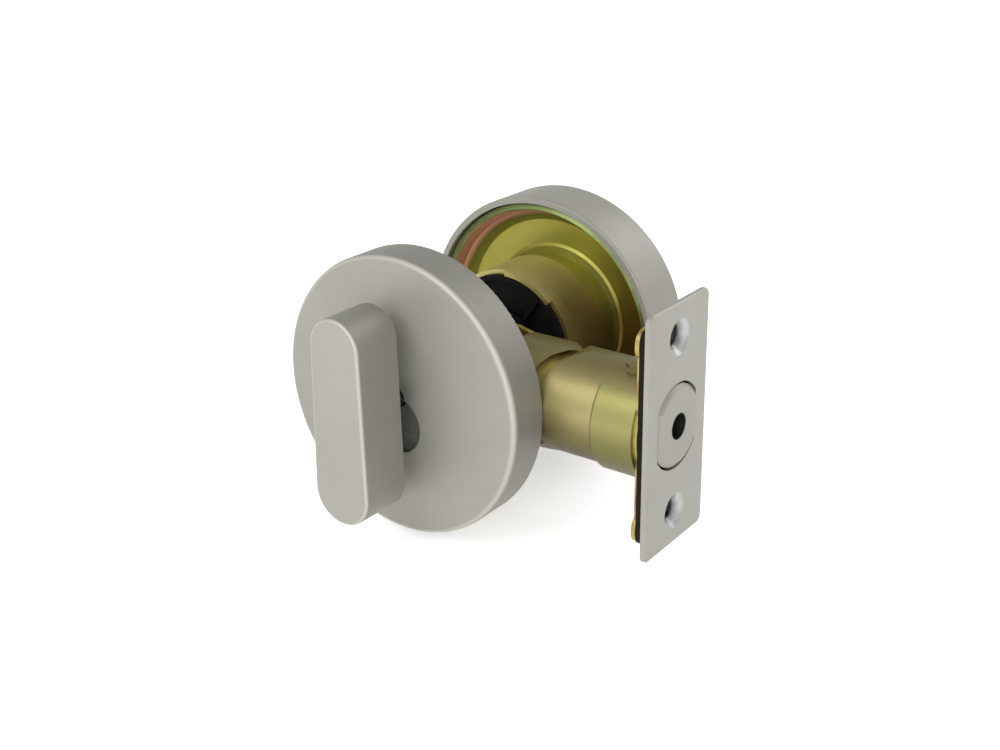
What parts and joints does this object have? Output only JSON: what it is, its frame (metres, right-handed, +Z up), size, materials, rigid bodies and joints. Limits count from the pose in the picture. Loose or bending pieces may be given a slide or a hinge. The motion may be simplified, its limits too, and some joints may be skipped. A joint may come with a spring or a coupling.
{
  "type": "deadbolt door lock",
  "caption": "Round satin-nickel deadbolt for a bored door: upright thumbturn, plated latch barrel with faceplate and bolt, deep street-side cup with keyed cylinder.",
  "frame": {"origin": "where the spindle axis crosses the bolt axis, at the middle of the door's cross bore", "axes": "+X out of the door edge along the bolt, +Y along the spindle to the street side, +Z up"},
  "size_m": [0.0955, 0.093, 0.0694],
  "materials": {
    "satin_nickel": "satin nickel plate",
    "yellow_zinc_plate": "yellow chromate over zinc on pressed steel",
    "dish_plate": "yellow chromate with green and rose tints at the curled rim",
    "tan_zinc_plate": "tan chromate over zinc on drawn steel tube",
    "black_plastic": "black moulded plastic",
    "dark_cap": "dark grey moulded plastic",
    "bright_steel": "bright steel",
    "brass_core": "turned brass",
    "cast_core": "die-cast zinc, satin nickel on the nose"
  },
  "bodies": {
    "lockset": {"inside_rosette": "satin_nickel", "rosette_cap": "dark_cap", "inside_mounting_plate": "bright_steel", "clamp_screws": "bright_steel", "latch_tube": "tan_zinc_plate", "tube_band": "tan_zinc_plate", "tube_key": "tan_zinc_plate", "inner_sleeve": "yellow_zinc_plate", "hub_barrel": "tan_zinc_plate", "case_plate_inside": "yellow_zinc_plate", "case_plate_outside": "yellow_zinc_plate", "case_skirt": "yellow_zinc_plate", "case_rivets": "bright_steel", "cam_bushings": "black_plastic", "faceplate": "satin_nickel", "faceplate_spacer": "black_plastic", "backing_plate": "yellow_zinc_plate", "outside_rosette": "satin_nickel", "outside_mounting_plate": "dish_plate", "outside_collar": "tan_zinc_plate", "cylinder_guard": "black_plastic", "cylinder_body": "cast_core", "pin_cover": "brass_core", "driver_pins": "brass_core", "pin_springs": "bright_steel"},
    "turn": {"thumbturn": "satin_nickel", "thumb_spindle": "bright_steel", "spindle_clip": "bright_steel", "thumb_driver": "bright_steel"},
    "crank": {"latch_cam": "bright_steel", "cam_pin": "bright_steel"},
    "blade": {"tail_blade": "bright_steel", "blade_head": "bright_steel"},
    "bolt_body": {"bolt": "satin_nickel", "bolt_tail": "yellow_zinc_plate", "tail_pin": "bright_steel"},
    "roller": {"bolt_roller": "bright_steel"},
    "plug_body": {"plug": "brass_core", "plug_ring": "bright_steel", "key_pins": "brass_core"}
  },
  "joints": [
    {"name": "thumb_turn", "type": "hinge", "parent": "lockset", "child": "turn", "pos_m": [0, 0, 0], "axis": [0, -1, 0], "range_deg": [0, 90]},
    {"name": "cam_turn", "type": "hinge", "parent": "lockset", "child": "crank", "pos_m": [0, 0, 0], "axis": [0, -1, 0], "range_deg": [0, 90]},
    {"name": "blade_turn", "type": "hinge", "parent": "lockset", "child": "blade", "pos_m": [0, 0, 0], "axis": [0, -1, 0], "range_deg": [0, 90]},
    {"name": "bolt_throw", "type": "slide", "parent": "lockset", "child": "bolt_body", "axis": [1, 0, 0], "range_m": [0, 0.0254]},
    {"name": "roller_spin", "type": "hinge", "parent": "bolt_body", "child": "roller", "pos_m": [0, 0, 0], "axis": [1, 0, 0], "continuous": true},
    {"name": "plug_turn", "type": "hinge", "parent": "lockset", "child": "plug_body", "pos_m": [0, 0, 0], "axis": [0, 1, 0], "range_deg": [-90, 90]}
  ],
  "couplings": [
    {"joint": "cam_turn", "follows": "thumb_turn", "ratio": 1},
    {"joint": "blade_turn", "follows": "thumb_turn", "ratio": 1},
    {"joint": "bolt_throw", "follows": "thumb_turn", "m_per_rad": 0.01617}
  ]
}
